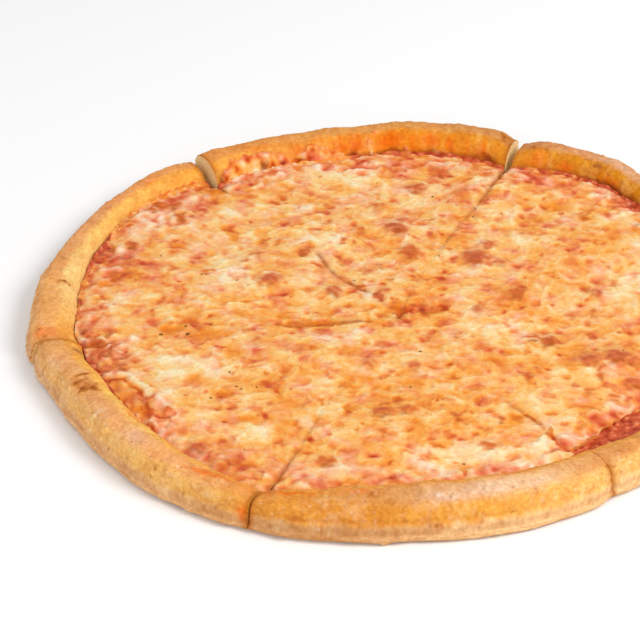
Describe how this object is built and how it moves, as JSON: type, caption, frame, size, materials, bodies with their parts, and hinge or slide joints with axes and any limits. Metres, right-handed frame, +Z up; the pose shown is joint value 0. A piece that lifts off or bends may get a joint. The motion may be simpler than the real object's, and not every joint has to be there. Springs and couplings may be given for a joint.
{
  "type": "cheese pizza",
  "caption": "Round cheese pizza with a raised baked rim, tomato sauce and browned melted cheese, cut into wedge slices that still lie together.",
  "frame": {"origin": "centre of the underside's outline, on the surface that the pizza rests on", "axes": "+Z up; -Y towards the viewer of the picture; +X to the viewer's right"},
  "size_m": [0.3071, 0.3004, 0.0178],
  "materials": {
    "crust": "matt golden-brown baked dough, paler at the foot and the cut faces",
    "sauce": "moist cooked tomato sauce",
    "cheese": "oily melted cheese, mottled cream and orange with brown blisters"
  },
  "bodies": {
    "root": {"crust_right_back": "crust", "crust_back": "crust", "crust_left_back": "crust", "crust_left_front": "crust", "crust_front": "crust", "crust_right_front": "crust", "sauce_right_back": "sauce", "sauce_back": "sauce", "sauce_left_back": "sauce", "sauce_left_front": "sauce", "sauce_front": "sauce", "sauce_right_front": "sauce", "cheese_right_back": "cheese", "cheese_back": "cheese", "cheese_left_back": "cheese", "cheese_left_front": "cheese", "cheese_front": "cheese", "cheese_right_front": "cheese"}
  },
  "joints": []
}
